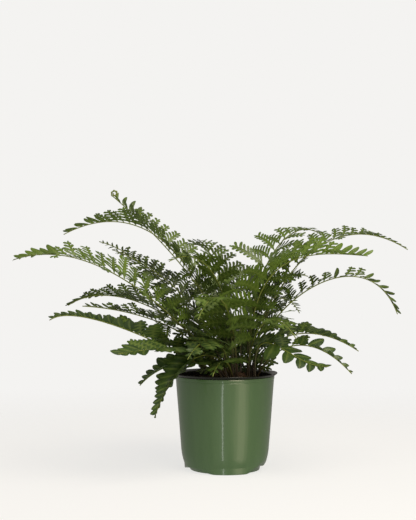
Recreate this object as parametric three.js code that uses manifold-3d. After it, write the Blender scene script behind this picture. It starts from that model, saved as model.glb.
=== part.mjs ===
// A spleenwort fern in a round nursery pot. Millimetres, +Z up.
// The origin is the middle of the pot's flat base, +X is to the right and -Y is the front.
import * as THREE from "three";
import { mergeVertices } from "three/addons/utils/BufferGeometryUtils.js";
import Module from "manifold-3d";

const wasm = await Module();
wasm.setup();

// Driving dimensions
const GAP = 0.3; // clearance between pieces that touch
const ROUND_SIDES = 40; // sides of the two pots

const POT = {
  height: 142.5,
  rimRadius: 75.8, // outside, over the rim band
  rimBand: 4.6, // height of the band
  bandStep: 0.5, // how far the band stands proud of the wall
  footRadius: 61.6, // flat of the base
  skirt: [62.3, 9.5], // radius and height of the crease over the feet
  shoulder: [
    [64.4, 16],
    [65.9, 22.5],
  ], // the rounding from the crease up to the wall
  cornerRadius: 67, // outside, where the rounding meets the straight wall
  cornerHeight: 30,
  wall: 1.9,
  floor: 3,
  chamferRadius: 46, // inside, the floor turns up here
  chamferHeight: 26,
};

// The bottom edge swings up between three feet. Turns are in degrees, from the front towards +X
const NOTCHES = [
  { turn: -57, height: 6.2 },
  { turn: 70, height: 10.5 },
  { turn: 186, height: 8 },
];
const NOTCH = {
  halfWidth: 43, // degrees
  levelHalf: 12, // half of its level top, degrees
  steps: 4, // in each sloping side
  innerRadius: 54,
  outerRadius: 80, // past the wall
};

const LINER = {
  wall: 1.3,
  clearance: 0.7, // to the inside of the pot
  floorHeight: 6, // it hangs on its lip, clear of the pot's floor
  floorRadius: 36,
  chamferHeight: 30,
  lipRadius: 80.7,
  lipTop: 147.3,
  lipEdge: 0.8, // bevel of its edge
  lipWall: 1.8,
};

const SOIL = { level: 135.5, sides: 30 };

const CROWN = new THREE.Vector3(24, 0, SOIL.level); // where the fronds spring from
const RHIZOME = { radius: 10, buried: 12, height: 11, lump: 1.3, sides: 10 };

const HOLE_OVER = 8; // how far the cutter of a hole stands out of the mix

const STEM = {
  buried: 10,
  hole: 2.6, // radius of the hole that it stands in
  width: 3, // at the foot
  tipWidth: 1.3,
  keel: 0.95, // its depth, as a share of its width
  point: 9.6, // length of the pointed end, past the last pinna
};

const PINNA = {
  thickness: 0.8,
  step: 12, // along the rachis, from a pinna to the next on the other side
  lowAngle: 88, // to the rachis, in degrees, where the pinnae begin
  tipAngle: 36,
  leanPower: 1.3, // how late they turn from the one to the other
  wedgeAngle: 66, // the same as lowAngle, on a wedge frond
  mostFold: 50, // past this its lower face would come through its upper one at the root
  sag: 0.1, // how far its tip droops, as a share of its length
  fingers: [9, 18, 32, 48], // one that is longer than each of these has one finger more
};

// The random spread of the pinnae: shares of their length, and degrees
const SPREAD = { length: 0.16, angle: 5, fold: 8 };

// The crozier's curled tip
const COIL = { radius: 5, inner: 2.2, turns: 1.15, steps: 11, point: 1 };

// Each frond arches out of the crown in an upright plane. turn is that plane's compass angle in degrees
// (0 is +X, 90 the back), root the distance of its stipe from the crown's middle, and rise, bend and tip
// are [reach, height] of its arch's control points over the soil. leaf is its longest pinna. Of the
// rest, fold lifts the pinnae in degrees, roll turns them about the stem, left side up, bare is the share
// of the length with no pinnae, and blunt the last pinna's length as a share of leaf. wedge marks an old
// low frond, with short, broad, toothed pinnae.
const frond = (name, turn, root, rise, bend, tip, leaf, rest = {}) => ({
  ...{ name, turn, root, rise, bend, tip, leaf, fold: 28, roll: 0, bare: 0.28, blunt: 0.1, wedge: false },
  ...rest,
});

const FRONDS = [
  frond("crozier", 165, 13, [0, 92], [122, 216], [207, 285], 60, { fold: 46, roll: -6 }),
  frond("top_left", 174, 20, [30, 120], [118, 303], [273, 226], 66, { fold: 48, roll: -4 }),
  frond("long_left", 198, 20, [46, 38], [202, 232], [345, 186], 78, { fold: 26, roll: -30 }),
  frond("back_left", 149, 20, [48, 84], [176, 196], [263, 214], 60, { fold: 10, roll: -30 }),
  frond("mid_left", 187, 26, [54, 82], [186, 164], [260, 118], 56, { fold: 38, roll: -10 }),
  frond("rear_left", 160, 27, [40, 110], [140, 176], [212, 200], 56, { fold: 10, roll: -30 }),
  frond("low_left", 201, 27, [60, 84], [176, 112], [246, 117], 44, { roll: -10 }),
  frond("fan_left", 211, 25, [88, 42], [266, 126], [314, 102], 44, {
    roll: -16,
    blunt: 0.2,
    wedge: true,
  }),
  frond("curled_left", 225, 28, [52, 66], [150, 60], [244, 54], 48, {
    fold: 6,
    roll: -30,
    blunt: 0.4,
    wedge: true,
  }),
  frond("short_left", 192, 34, [50, 42], [118, 36], [154, -2], 34, { fold: 36, roll: -10, wedge: true }),
  frond("broad_left", 219, 34, [50, 42], [112, 42], [150, -4], 46, { fold: 30, roll: -16, wedge: true }),
  frond("drooping_left", 227, 20, [40, 64], [136, 62], [184, -37], 38, { fold: 40, wedge: true }),
  frond("top_right", 14, 14, [36, 160], [146, 276], [272, 203], 78, { roll: 14 }),
  frond("bright_right", 338, 13, [6, 200], [96, 200], [196, 191], 84, { fold: 34, roll: 16, bare: 0.2 }),
  frond("arching_right", 352, 19, [8, 104], [186, 236], [237, 106], 46, { roll: 12, blunt: 0.3 }),
  frond("low_right", 346, 26, [28, 72], [104, 97], [178, 50], 38, { fold: 40, wedge: true }),
  frond("lower_right", 330, 25, [44, 50], [110, 90], [182, 21], 34, { fold: 40, wedge: true }),
  frond("short_right", 314, 30, [20, 120], [104, 24], [172, 32], 40, { fold: 0, roll: 20, wedge: true }),
  frond("upper_right", 44, 14, [4, 150], [96, 262], [184, 228], 84, { fold: 20 }),
  frond("inner_right", 20, 21, [24, 110], [74, 170], [110, 160], 54, { roll: 10, bare: 0.34 }),
  frond("side_right", 64, 29, [44, 76], [136, 120], [206, 62], 44),
  frond("front_left", 250, 14, [26, 120], [108, 164], [184, 104], 64, { fold: 10 }),
  frond("front_right", 296, 19, [30, 96], [104, 122], [166, 76], 60, { fold: 10 }),
  frond("front_low", 246, 27, [42, 38], [76, 46], [104, 18], 44, { fold: 10, wedge: true }),
  frond("front_high", 220, 13, [14, 150], [70, 210], [136, 184], 72, { fold: 20 }),
  frond("front_fan", 241, 30, [44, 70], [104, 88], [160, 46], 56, { fold: 6, roll: -10, wedge: true }),
  frond("back", 88, 14, [26, 130], [132, 206], [236, 146], 66, { fold: 14 }),
  frond("back_low_left", 124, 25, [46, 88], [168, 130], [250, 70], 54),
  frond("back_high", 118, 13, [16, 140], [90, 230], [182, 206], 68, { fold: 14 }),
  frond("back_right", 64, 20, [40, 92], [150, 160], [240, 96], 58),
  frond("back_low", 96, 28, [44, 70], [120, 90], [190, 40], 44, { wedge: true }),
];

// Materials
const material = (color, roughness) => new THREE.MeshStandardMaterial({ color, roughness, metalness: 0 });
const GREEN_PLASTIC = material("#4f6b49", 0.35);
const BLACK_PLASTIC = material("#1b1b1a", 0.25);
const POTTING_MIX = material("#33261c", 0.95);
const ROOTSTOCK = material("#4f3a28", 0.9);
const LEAF = material("#456b28", 0.45);

// Repeatable random numbers in 0..1, from whole numbers alone
const MODULUS = 2147483647;
const MULTIPLIER = 16807;

function seeded(seed) {
  let state = (seed * 7919 + 17) % MODULUS;
  return () => {
    state = (state * MULTIPLIER) % MODULUS;
    return state / MODULUS;
  };
}

// Closed meshes to solids and back, for cutting and for testing what crosses
function solidOf(geometry) {
  const g = geometry.clone();
  g.deleteAttribute("normal");
  g.deleteAttribute("uv");
  const merged = mergeVertices(g, 1e-4);
  return new wasm.Manifold(
    new wasm.Mesh({
      numProp: 3,
      vertProperties: new Float32Array(merged.attributes.position.array),
      triVerts: new Uint32Array(merged.index.array),
    }),
  );
}

function geometryOf(solid) {
  const mesh = solid.getMesh();
  const g = new THREE.BufferGeometry();
  g.setAttribute("position", new THREE.BufferAttribute(mesh.vertProperties, 3));
  g.setIndex(new THREE.BufferAttribute(mesh.triVerts, 1));
  return g;
}

function geometryFrom(points, triangles) {
  const g = new THREE.BufferGeometry().setFromPoints(points);
  g.setIndex(triangles.flat());
  return g;
}

function meshOf(name, geometry, look) {
  geometry.computeVertexNormals();
  const mesh = new THREE.Mesh(geometry, look);
  mesh.name = name;
  return mesh;
}

const turned = (degrees, radius, z) => {
  const a = THREE.MathUtils.degToRad(degrees);
  return new THREE.Vector3(radius * Math.cos(a), radius * Math.sin(a), z);
};

// A profile of [radius, height] points, from the axis round to the axis, turned about Z
function lathe(profile, sides) {
  const points = profile.map(([radius, z]) => new THREE.Vector2(radius, z));
  const g = new THREE.LatheGeometry(points, sides);
  g.rotateX(Math.PI / 2);
  return g;
}

// The green pot: a straight tapered wall on a rounded base with three feet
function potWall(height) {
  const top = POT.height - POT.rimBand;
  const share = (height - POT.cornerHeight) / (top - POT.cornerHeight);
  return THREE.MathUtils.lerp(POT.cornerRadius, POT.rimRadius - POT.bandStep, share);
}

function potGeometry() {
  const bandFoot = POT.height - POT.rimBand;
  const profile = [
    [0, 0],
    [POT.footRadius, 0],
    POT.skirt,
    ...POT.shoulder,
    [POT.cornerRadius, POT.cornerHeight],
    [potWall(bandFoot), bandFoot],
    [POT.rimRadius, bandFoot + POT.bandStep / 2],
    [POT.rimRadius, POT.height],
    [potWall(bandFoot) - POT.wall, POT.height],
    [potWall(POT.chamferHeight) - POT.wall, POT.chamferHeight],
    [POT.chamferRadius, POT.floor],
    [0, POT.floor],
  ];
  let solid = solidOf(lathe(profile, ROUND_SIDES));
  for (const notch of NOTCHES) solid = solid.subtract(notchCutter(notch));
  return geometryOf(solid);
}

// The cutter of a notch is a ring piece whose top slopes up to a level middle
function notchCutter({ turn, height }) {
  const { halfWidth, levelHalf, steps, innerRadius, outerRadius } = NOTCH;
  const slope = [];
  for (let i = 0; i <= steps; i++) slope.push(THREE.MathUtils.lerp(levelHalf, halfWidth, i / steps));
  const offsets = [...slope.map((off) => -off).reverse(), ...slope];
  const points = [];
  const triangles = [];
  offsets.forEach((off, i) => {
    const top = height * THREE.MathUtils.smoothstep(-Math.abs(off), -halfWidth, -levelHalf);
    const at = (radius, z) => turned(turn + off - 90, radius, z);
    points.push(at(innerRadius, -GAP), at(outerRadius, -GAP), at(outerRadius, top), at(innerRadius, top));
    if (i === 0) return;
    const [a, b] = [4 * i - 4, 4 * i];
    for (let k = 0; k < 4; k++) {
      const next = (k + 1) % 4;
      triangles.push([a + k, b + k, b + next], [a + k, b + next, a + next]);
    }
  });
  const end = points.length - 4;
  triangles.push([0, 1, 2], [0, 2, 3], [end, end + 2, end + 1], [end, end + 3, end + 2]);
  return solidOf(geometryFrom(points, triangles));
}

// The black grower's pot: it hangs in the green one by a lip that flares over the rim
function linerWall(height) {
  return potWall(height) - POT.wall - LINER.clearance;
}

function linerGeometry() {
  const seat = POT.height + GAP;
  const { wall, floorHeight, floorRadius, chamferHeight, lipRadius, lipTop, lipEdge, lipWall } = LINER;
  return lathe(
    [
      [0, floorHeight],
      [floorRadius, floorHeight],
      [linerWall(chamferHeight), chamferHeight],
      [linerWall(seat), seat],
      [POT.rimRadius, seat],
      [lipRadius, lipTop - lipEdge],
      [lipRadius - lipEdge, lipTop],
      [linerWall(seat) + lipEdge, seat + lipWall],
      [linerWall(seat) - wall, seat],
      [linerWall(chamferHeight) - wall, chamferHeight],
      [floorRadius, floorHeight + wall],
      [0, floorHeight + wall],
    ],
    ROUND_SIDES,
  );
}

// The mix: a plug that fills the grower's pot, with a plain hole for the rootstock and for each stipe
function soilGeometry(fronds) {
  const inside = (z) => linerWall(z) - LINER.wall - GAP;
  const base = LINER.floorHeight + LINER.wall + GAP;
  const profile = [
    [0, base],
    [LINER.floorRadius - LINER.wall, base],
    [inside(LINER.chamferHeight), LINER.chamferHeight],
    [inside(SOIL.level), SOIL.level],
    [0, SOIL.level],
  ];
  let solid = solidOf(lathe(profile, SOIL.sides));
  const upright = new THREE.Vector3(0, 0, 1);
  const foot = CROWN.clone().addScaledVector(upright, -RHIZOME.buried);
  solid = solid.subtract(hole(foot, upright, RHIZOME.radius + GAP, RHIZOME.buried, RHIZOME.sides));
  for (const { stations } of fronds) {
    const { at, ahead, up } = stations[0];
    const middle = at.clone().addScaledVector(up, (-STEM.width * STEM.keel) / 3);
    solid = solid.subtract(hole(middle, ahead, STEM.hole, STEM.buried, 6));
  }
  return geometryOf(solid);
}

// The cutter of a hole: it stands on the hole's floor, a gap under the foot of what fills it
function hole(foot, ahead, radius, depth, sides) {
  const length = depth + GAP + HOLE_OVER;
  const g = new THREE.CylinderGeometry(radius, radius, length, sides);
  g.translate(0, length / 2 - GAP, 0);
  g.applyQuaternion(new THREE.Quaternion().setFromUnitVectors(new THREE.Vector3(0, 1, 0), ahead));
  g.translate(foot.x, foot.y, foot.z);
  return solidOf(g);
}

// The rootstock: a knobbly stub between the stipes, half sunk in the mix
function rhizomeGeometry() {
  const { radius, buried, height, lump, sides } = RHIZOME;
  const profile = [
    [0, -buried],
    [radius * 0.8, -buried],
    [radius - lump, -buried * 0.4],
    [radius - lump, height * 0.15],
    [radius * 0.72, height * 0.6],
    [radius * 0.34, height * 0.92],
    [0, height],
  ];
  const g = lathe(profile, sides);
  const place = g.attributes.position;
  for (let i = 0; i < place.count; i++) {
    const x = place.getX(i);
    const y = place.getY(i);
    const around = Math.atan2(y, x);
    const knob = 1 + (lump / radius) * Math.sin(around * 3 + place.getZ(i) * 0.5);
    place.setXYZ(i, x * knob + CROWN.x, y * knob + CROWN.y, place.getZ(i) + CROWN.z);
  }
  return g;
}

// A frond's arch in its upright plane
class Arch extends THREE.Curve {
  constructor(frond) {
    super();
    this.frond = frond;
    const flat = ([reach, height]) => new THREE.Vector2(reach, height);
    this.plan = new THREE.CubicBezierCurve(
      new THREE.Vector2(frond.root, 0),
      flat(frond.rise),
      flat(frond.bend),
      flat(frond.tip),
    );
  }

  getPoint(t, target = new THREE.Vector3()) {
    const p = this.plan.getPoint(t);
    return target.copy(turned(this.frond.turn, p.x, p.y)).add(CROWN);
  }
}

// A station is a place on the stem with its axes: ahead along it, across it level, and up out of its face
function station(at, ahead, turn, width) {
  const across = turned(turn - 90, 1, 0);
  across.addScaledVector(ahead, -across.dot(ahead)).normalize();
  const up = new THREE.Vector3().crossVectors(across, ahead);
  return { at, ahead, across, up, width };
}

// The stem's stations: the buried foot, the bare stipe, and one at each end of each pinna's root
function stationsOf(frond) {
  const arch = new Arch(frond);
  arch.arcLengthDivisions = 240;
  const steps = Math.round((arch.getLength() * (1 - frond.bare)) / PINNA.step);
  const shares = [0, frond.bare / 3, (frond.bare * 2) / 3];
  for (let i = 0; i <= steps; i++) shares.push(THREE.MathUtils.lerp(frond.bare, 1, i / steps));
  const list = shares.map((share) => {
    const width = THREE.MathUtils.lerp(STEM.width, STEM.tipWidth, Math.sqrt(share));
    return station(arch.getPointAt(share), arch.getTangentAt(share), frond.turn, width);
  });
  const foot = list[0].at.clone().addScaledVector(list[0].ahead, -STEM.buried);
  list.unshift(station(foot, list[0].ahead.clone(), frond.turn, STEM.width));
  return { stations: list, leafyFrom: list.length - 1 - steps, leafySteps: steps };
}

// The curled tip of the young frond: it goes on from the last station and winds back over the rachis
function coilStations(last) {
  const list = [];
  const centre = last.at.clone().addScaledVector(last.up, COIL.radius);
  for (let i = 1; i <= COIL.steps; i++) {
    const share = i / COIL.steps;
    const a = share * COIL.turns * Math.PI * 2;
    const radius = THREE.MathUtils.lerp(COIL.radius, COIL.inner, share);
    const at = centre
      .clone()
      .addScaledVector(last.up, -radius * Math.cos(a))
      .addScaledVector(last.ahead, radius * Math.sin(a));
    const ahead = last.ahead.clone().multiplyScalar(Math.cos(a)).addScaledVector(last.up, Math.sin(a));
    const up = new THREE.Vector3().crossVectors(last.across, ahead);
    list.push({ at, ahead, across: last.across, up, width: STEM.tipWidth });
  }
  return list;
}

// The stem is three-sided: two upper edges, left and right, and a keel
function corners(s) {
  return {
    left: s.at.clone().addScaledVector(s.across, -s.width / 2),
    right: s.at.clone().addScaledVector(s.across, s.width / 2),
    keel: s.at.clone().addScaledVector(s.up, -s.width * STEM.keel),
  };
}

// How long the pinnae are along a frond, as a share of its longest: quick to full length, slow to the tip
function pinnaShare(u, blunt) {
  return Math.min(1, 0.6 + u * 2) * Math.pow(1 - u, 1.15) * (1.1 - blunt) + blunt;
}

// A pinna's outline as [along, ahead] in shares of its length and of its room along the rachis. The
// lower edge is straight, and fingers lean from the midrib on the upper edge to the pinna's tip.
function combOutline(fingers) {
  const outline = [[1, 0]];
  for (let i = 0; i < fingers; i++) {
    const share = fingers === 1 ? 0.5 : i / (fingers - 1);
    const along = THREE.MathUtils.lerp(0.76, 0.2, share);
    outline.push([along + 0.04, 0.14], [along + 0.12, THREE.MathUtils.lerp(0.46, 0.68, share)]);
  }
  return outline;
}

// A wedge widens from its narrow foot to a toothed end
function wedgeOutline(teeth) {
  if (teeth < 2) return [[0.6, -0.18], [1, 0.1], [0.6, 0.46]];
  return [[0.6, -0.34], [1, -0.1], [0.87, 0.12], [0.93, 0.46], [0.72, 0.38], [0.56, 0.68]];
}

// The pinna that grows between stations a and b, on the right (side 1) or left (side -1), at the share u
// of the leafy length. The draws are in -0.5..0.5.
function pinnaBlade(frond, a, b, side, u, draw, bend, scale) {
  const length = frond.leaf * pinnaShare(u, frond.blunt) * (1 + SPREAD.length * draw.length) * scale;
  const lowAngle = frond.wedge ? PINNA.wedgeAngle : PINNA.lowAngle;
  const lean = THREE.MathUtils.lerp(lowAngle, PINNA.tipAngle, u ** PINNA.leanPower);
  const forward = THREE.MathUtils.degToRad(lean + SPREAD.angle * draw.forward);
  const fold = THREE.MathUtils.degToRad(
    Math.min(PINNA.mostFold, frond.fold - side * frond.roll + SPREAD.fold * draw.fold + bend),
  );
  const out = a.across.clone().multiplyScalar(side * Math.cos(fold)).addScaledVector(a.up, Math.sin(fold));
  const along = a.ahead.clone().multiplyScalar(Math.cos(forward)).addScaledVector(out, Math.sin(forward));
  const face = new THREE.Vector3().crossVectors(along, a.ahead).multiplyScalar(side).normalize();
  const middle = a.at.clone().add(b.at).multiplyScalar(0.5).addScaledVector(out, a.width / 2);
  const room = 2 * PINNA.step * Math.min(1, 0.35 + (length / frond.leaf) * 0.9);
  const fingers = PINNA.fingers.filter((least) => length > least).length;
  const outline = frond.wedge ? wedgeOutline(fingers) : combOutline(fingers);
  const top = outline.map(([x, y]) =>
    middle
      .clone()
      .addScaledVector(along, x * length)
      .addScaledVector(a.ahead, y * room)
      .addScaledVector(face, -PINNA.sag * x * x * length),
  );
  const below = top.map((p) => p.clone().addScaledVector(face, -PINNA.thickness));
  const half = a.at.distanceTo(b.at) / 2;
  const flat = [[0, -half], ...outline.map(([x, y]) => [x * length, y * room]), [0, half]];
  return { top, below, flat, side };
}

// Triangles of a pinna between its root edges, both faces split alike. Each index is into the ring
// root, outline, root, with the lower ring after the upper one.
function pinnaTriangles(blade, closed) {
  const contour = blade.flat.map(([x, y]) => new THREE.Vector2(x, y));
  const n = contour.length;
  const triangles = [];
  for (const [i, j, k] of THREE.ShapeUtils.triangulateShape(contour, [])) {
    const area = new THREE.Vector2().subVectors(contour[j], contour[i]).cross(
      new THREE.Vector2().subVectors(contour[k], contour[i]),
    );
    const [p, q] = area > 0 ? [j, k] : [k, j];
    triangles.push([i, p, q], [i + n, q + n, p + n]);
  }
  for (let i = 0; i < (closed ? n : n - 1); i++) {
    const j = (i + 1) % n;
    triangles.push([i, j + n, j], [i, i + n, j + n]);
  }
  return blade.side > 0 ? triangles : triangles.map(([i, j, k]) => [i, k, j]);
}

// The pinna alone, thicker than it is, to test whether it would come too near to another
function pinnaProbe(blade, a, b, margin) {
  const edge = blade.side > 0 ? "right" : "left";
  const rootA = corners(a);
  const rootB = corners(b);
  const upper = [rootA[edge], ...blade.top, rootB[edge]];
  const lower = [rootA.keel, ...blade.below, rootB.keel];
  const thicker = (from, to) => from.clone().lerp(to, -margin / from.distanceTo(to));
  const points = [
    ...upper.map((p, i) => thicker(p, lower[i])),
    ...lower.map((p, i) => thicker(p, upper[i])),
  ];
  return probeOf(geometryFrom(points, pinnaTriangles(blade, true)));
}

function probeOf(geometry) {
  geometry.computeBoundingBox();
  return { box: geometry.boundingBox, solid: solidOf(geometry) };
}

// Each stretch of a stem as a closed wedge, a little thicker than it is
function stemProbes(frond, margin) {
  const list = [];
  for (let i = 0; i + 1 < frond.stations.length; i++) {
    const ends = [frond.stations[i], frond.stations[i + 1]].map((s) =>
      corners({ ...s, width: s.width + 2 * margin }),
    );
    const points = ends.flatMap((c) => [c.left, c.right, c.keel]);
    const shell = [[0, 1, 4], [0, 4, 3], [1, 2, 5], [1, 5, 4], [2, 0, 3], [2, 3, 5], [0, 2, 1], [3, 4, 5]];
    list.push({ ...probeOf(geometryFrom(points, shell)), place: i - frond.leafyFrom });
  }
  return list;
}

function crosses(probe, others) {
  return others.some(
    (other) => probe.box.intersectsBox(other.box) && !probe.solid.intersect(other.solid).isEmpty(),
  );
}

// Pinnae in turn on the two sides of each frond. One that would cross another frond is bent clear, then
// shortened, and left out where neither helps.
const BENDS = [0, 14, -14, 28, -28, 42, -42];
const SCALES = [1, 0.75, 0.5];
const TRIES = SCALES.flatMap((scale) => BENDS.map((bend) => [bend, scale]));
const CLEAR = 0.5; // what a stem or a pinna is thickened by for the test

function growPinnae(fronds) {
  const stems = fronds.map((frond) => stemProbes(frond, CLEAR));
  const leaves = fronds.map(() => []);
  fronds.forEach((frond, index) => {
    const random = seeded(index + 1);
    const others = [...stems, ...leaves].filter((_, i) => i % fronds.length !== index);
    for (let k = 0; k < frond.leafySteps; k++) {
      const a = frond.stations[frond.leafyFrom + k];
      const b = frond.stations[frond.leafyFrom + k + 1];
      const side = (k + index) % 2 ? 1 : -1;
      const draw = { length: random() - 0.5, forward: random() - 0.5, fold: random() - 0.5 };
      const apart = ({ place }) => Math.abs(place - k) > 1;
      const near = [...others.flat(), ...stems[index].filter(apart), ...leaves[index].filter(apart)];
      for (const [bend, scale] of TRIES) {
        const blade = pinnaBlade(frond, a, b, side, k / frond.leafySteps, draw, bend, scale);
        const probe = pinnaProbe(blade, a, b, CLEAR);
        if (crosses(probe, near)) continue;
        frond.blades[frond.leafyFrom + k] = blade;
        leaves[index].push({ ...probe, place: k });
        break;
      }
    }
  });
}

// One closed surface: the three-sided stem, with each pinna growing out of a side of it
function frondGeometry(frond) {
  const points = [];
  const triangles = [];
  const add = (p) => points.push(p) - 1;
  const rings = frond.stations.map((s) => {
    const c = corners(s);
    return { left: add(c.left), right: add(c.right), keel: add(c.keel) };
  });
  const quad = (p, q, r, s) => triangles.push([p, q, r], [p, r, s]);
  const foot = rings[0];
  triangles.push([foot.left, foot.keel, foot.right]);
  for (let i = 0; i + 1 < rings.length; i++) {
    const a = rings[i];
    const b = rings[i + 1];
    quad(a.left, a.right, b.right, b.left);
    const blade = frond.blades[i];
    if (!blade || blade.side < 0) quad(a.right, a.keel, b.keel, b.right);
    if (!blade || blade.side > 0) quad(a.keel, a.left, b.left, b.keel);
    if (!blade) continue;
    const edge = blade.side > 0 ? "right" : "left";
    const ring = [a[edge], ...blade.top.map(add), b[edge], a.keel, ...blade.below.map(add), b.keel];
    for (const [p, q, r] of pinnaTriangles(blade, false)) triangles.push([ring[p], ring[q], ring[r]]);
  }
  const last = frond.stations.at(-1);
  const end = rings.at(-1);
  const apex = add(last.at.clone().addScaledVector(last.ahead, frond.point));
  triangles.push([end.left, end.right, apex], [end.right, end.keel, apex], [end.keel, end.left, apex]);
  return geometryFrom(points, triangles);
}

const fronds = FRONDS.map((frond) => ({
  ...frond,
  ...stationsOf(frond),
  point: STEM.point,
  blades: [],
}));
const young = fronds[0];
young.point = COIL.point;
young.stations.push(...coilStations(young.stations.at(-1)));
growPinnae(fronds);

const group = new THREE.Group();
group.add(
  meshOf("pot", potGeometry(), GREEN_PLASTIC),
  meshOf("inner_pot", linerGeometry(), BLACK_PLASTIC),
  meshOf("soil", soilGeometry(fronds), POTTING_MIX),
  meshOf("rhizome", rhizomeGeometry(), ROOTSTOCK),
  ...fronds.map((frond) => meshOf("frond_" + frond.name, frondGeometry(frond), LEAF)),
);

export default group;
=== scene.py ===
# %% [markdown]
# # A spleenwort fern in a green pot
# The object is a young spleenwort, still in its black grower's pot, which hangs by its lip in a
# plain green outer pot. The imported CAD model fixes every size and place. This script dresses it:
# each node is replaced by a finer piece of the same form, with a procedural material.
# Points are worked out in millimetres, as a maker would write them, and turned to metres only
# when a mesh is made.

# %% Load the frame
import math

import bpy
import numpy as np
from mathutils.bvhtree import BVHTree
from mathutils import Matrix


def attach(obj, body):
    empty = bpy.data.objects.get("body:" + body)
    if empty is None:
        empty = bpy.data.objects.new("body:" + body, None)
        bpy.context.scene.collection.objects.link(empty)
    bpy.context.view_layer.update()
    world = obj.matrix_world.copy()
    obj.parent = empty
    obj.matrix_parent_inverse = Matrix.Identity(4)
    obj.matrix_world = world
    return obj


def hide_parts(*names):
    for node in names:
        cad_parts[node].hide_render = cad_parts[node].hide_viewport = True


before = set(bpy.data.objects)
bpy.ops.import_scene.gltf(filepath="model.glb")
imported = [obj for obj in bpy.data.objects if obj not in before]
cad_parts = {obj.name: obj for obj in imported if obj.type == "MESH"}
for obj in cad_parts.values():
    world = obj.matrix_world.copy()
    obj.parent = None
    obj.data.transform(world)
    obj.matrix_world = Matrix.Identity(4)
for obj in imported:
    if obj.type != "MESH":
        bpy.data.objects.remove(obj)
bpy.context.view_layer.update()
MM = 0.001
print("nodes in the frame:", len(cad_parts))

# %% [markdown]
# ## Camera
# The photograph looks level at the plant from nearly two metres away, so the verticals of the pot
# stay upright and the rim shows as a thin ellipse. A long lens from that distance gives the same
# flat perspective. The camera stands a little left of the pot's axis and at the height of the
# leaves, so no tilt and no shift are needed.

# %% Camera
CAMERA_PLACE = (-0.026, -1.880, 0.3194)
FOCAL_LENGTH = 84.9  # millimetres, for a 36 mm sensor along the long side

camera = bpy.data.objects.new("camera", bpy.data.cameras.new("camera"))
camera.location = CAMERA_PLACE
camera.rotation_euler = (math.pi / 2, 0, 0)
camera.data.lens = FOCAL_LENGTH
camera.data.sensor_width = 36
camera.data.clip_start = 0.05
bpy.context.scene.collection.objects.link(camera)
bpy.context.scene.camera = camera
bpy.context.scene.view_settings.view_transform = "Standard"
print("camera", tuple(camera.location), "lens", FOCAL_LENGTH)

# %% [markdown]
# ## Materials: a few helpers
# Colours are written as sRGB hex values, which is how a colour picker shows them. The renderer
# works in linear light, so one function turns them over. A second function adds a shader node,
# sets its values and makes its links, so that each material below reads like a list. Patterns are
# scaled by real sizes: object coordinates are in metres, so a grain of 2 mm needs a scale of 500.

# %% Colour and node helpers
def linear(hex_colour, alpha=1.0):
    """An sRGB hex colour as linear RGBA."""
    parts = [int(hex_colour[i : i + 2], 16) / 255 for i in (1, 3, 5)]
    return (*[c / 12.92 if c <= 0.04045 else ((c + 0.055) / 1.055) ** 2.4 for c in parts], alpha)


def add(tree, kind, inputs=(), **settings):
    """Adds a node. inputs maps a socket to a value, or to the output that is linked to it."""
    made = tree.nodes.new("ShaderNode" + kind)
    for name, value in settings.items():
        setattr(made, name, value)
    for socket, value in dict(inputs).items():
        if isinstance(value, bpy.types.NodeSocket):
            tree.links.new(value, made.inputs[socket])
        else:
            made.inputs[socket].default_value = value
    return made


def new_material(name):
    """An empty node material and its tree."""
    made = bpy.data.materials.new(name)
    made.use_nodes = True
    made.node_tree.nodes.clear()
    print("material:", name)
    return made, made.node_tree


def per_metre(size):
    """The scale of a pattern: how many pieces of that size, in millimetres, lie in a metre."""
    return 1 / (size * MM)


# The sockets of a Mix node that mixes colours
FACTOR, FIRST, SECOND, MIXED = 0, 6, 7, 2

# %% [markdown]
# ## Light and floor
# The photograph is a studio cut-out look: an even near-white ground and no hard shadow. The pot
# tells where the lamps were. A tall soft band down its right side is a softbox at the right front,
# and a thin wobbly streak near the middle is a narrow strip light nearly behind the camera. The band
# fades out at its edges, so it is made by two lamps, a narrow one inside a wide one. They stand low and
# give little light. The plant gets its light from a big lamp overhead and a fill at the right front.
# The world is bright only where the camera looks straight at it. For the lighting itself it is
# dimmer, so that the hollows between the leaves stay dark.

# %% World
BACKDROP = "#f4f3f1"
world = bpy.data.worlds.new("studio")
world.use_nodes = True
tree = world.node_tree
tree.nodes.clear()
seen = add(tree, "LightPath")
lighting = add(tree, "Background", {"Color": linear("#fffaf2"), "Strength": 0.27})
backdrop = add(tree, "Background", {"Color": linear(BACKDROP), "Strength": 1.0})
straight = seen.outputs["Is Camera Ray"]
chosen = add(tree, "MixShader", {0: straight, 1: lighting.outputs[0], 2: backdrop.outputs[0]})
add(tree, "OutputWorld", {"Surface": chosen.outputs[0]})
bpy.context.scene.world = world
print("backdrop", BACKDROP)


# %% Softboxes
def softbox(name, place, aim, size, watts, colour="#ffffff"):
    """A rectangular lamp that the camera doesn't see. size is (width, height) in metres."""
    data = bpy.data.lights.new(name, "AREA")
    data.shape = "RECTANGLE"
    data.size, data.size_y = size
    data.energy = watts
    data.color = linear(colour)[:3]
    lamp = bpy.data.objects.new(name, data)
    lamp.location = place
    away = lamp.location - type(lamp.location)(aim)
    lamp.rotation_euler = away.to_track_quat("Z", "Y").to_euler()
    lamp.visible_camera = False
    bpy.context.scene.collection.objects.link(lamp)
    return lamp


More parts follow.
